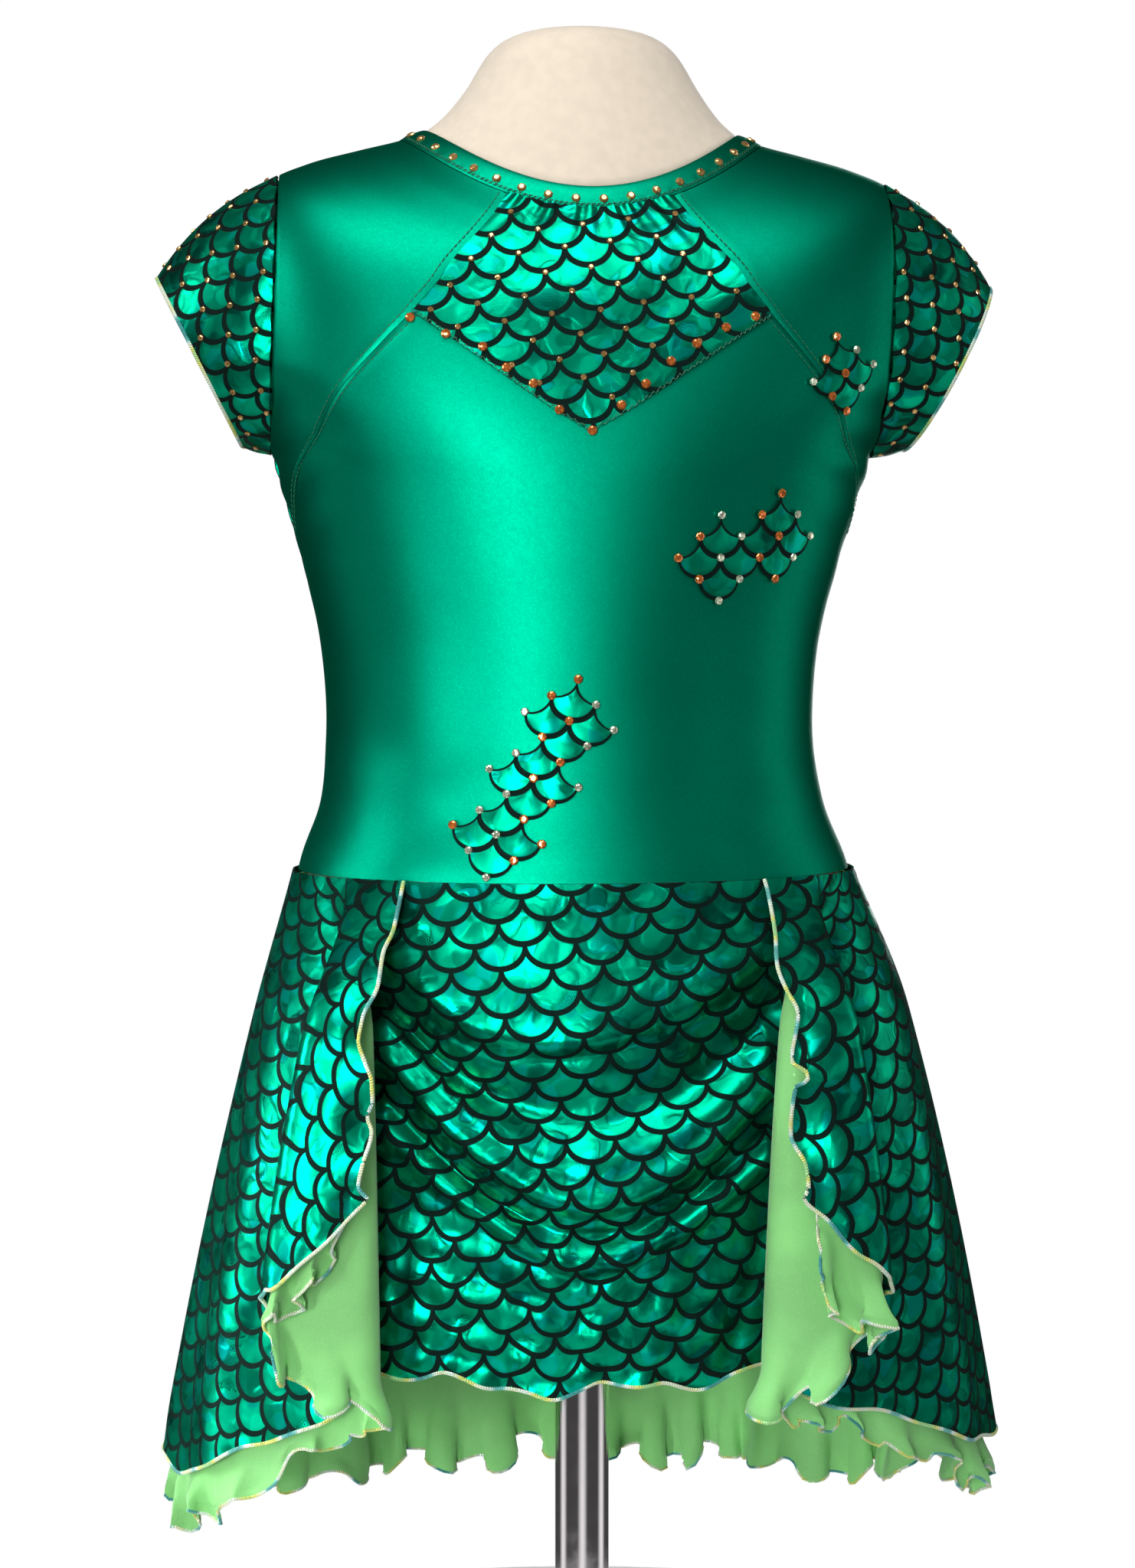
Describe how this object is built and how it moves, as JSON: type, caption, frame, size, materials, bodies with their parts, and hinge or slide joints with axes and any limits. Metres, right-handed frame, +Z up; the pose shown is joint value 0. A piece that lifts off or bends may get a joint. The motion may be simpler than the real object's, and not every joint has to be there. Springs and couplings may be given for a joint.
{
  "type": "mermaid-style dance dress on a dress form",
  "caption": "Child's cap-sleeve dance dress in green foil cloth with scale-print inset and patches, and an open-fronted high-low skirt over a ruffled lime layer, on a limbless dress form.",
  "frame": {"origin": "centre of the underside of the stand's round base", "axes": "+Z up; the dress faces -Y; +X to the right of someone who looks at its front"},
  "size_m": [0.412, 0.3376, 0.9555],
  "materials": {
    "green_foil_knit": "metallic foil stretch knit, satin sheen",
    "scale_print_foil": "hologram foil stretch knit with a dark scale print",
    "lime_mesh": "soft matt mesh",
    "form_linen": "matt plain-weave cover, drawn smooth",
    "stand_chrome": "polished"
  },
  "bodies": {
    "root": {"neckband": "green_foil_knit", "front_centre": "green_foil_knit", "shoulder_left": "green_foil_knit", "shoulder_right": "green_foil_knit", "back": "green_foil_knit", "sleeve_left": "scale_print_foil", "sleeve_right": "scale_print_foil", "front_inset": "scale_print_foil", "applique_chest": "scale_print_foil", "applique_bust": "scale_print_foil", "applique_column": "scale_print_foil", "overskirt": "scale_print_foil", "front_skirt": "scale_print_foil", "underskirt": "lime_mesh", "form": "form_linen", "stand_base": "stand_chrome", "stand_collar": "stand_chrome", "stand_pole": "stand_chrome"}
  },
  "joints": []
}
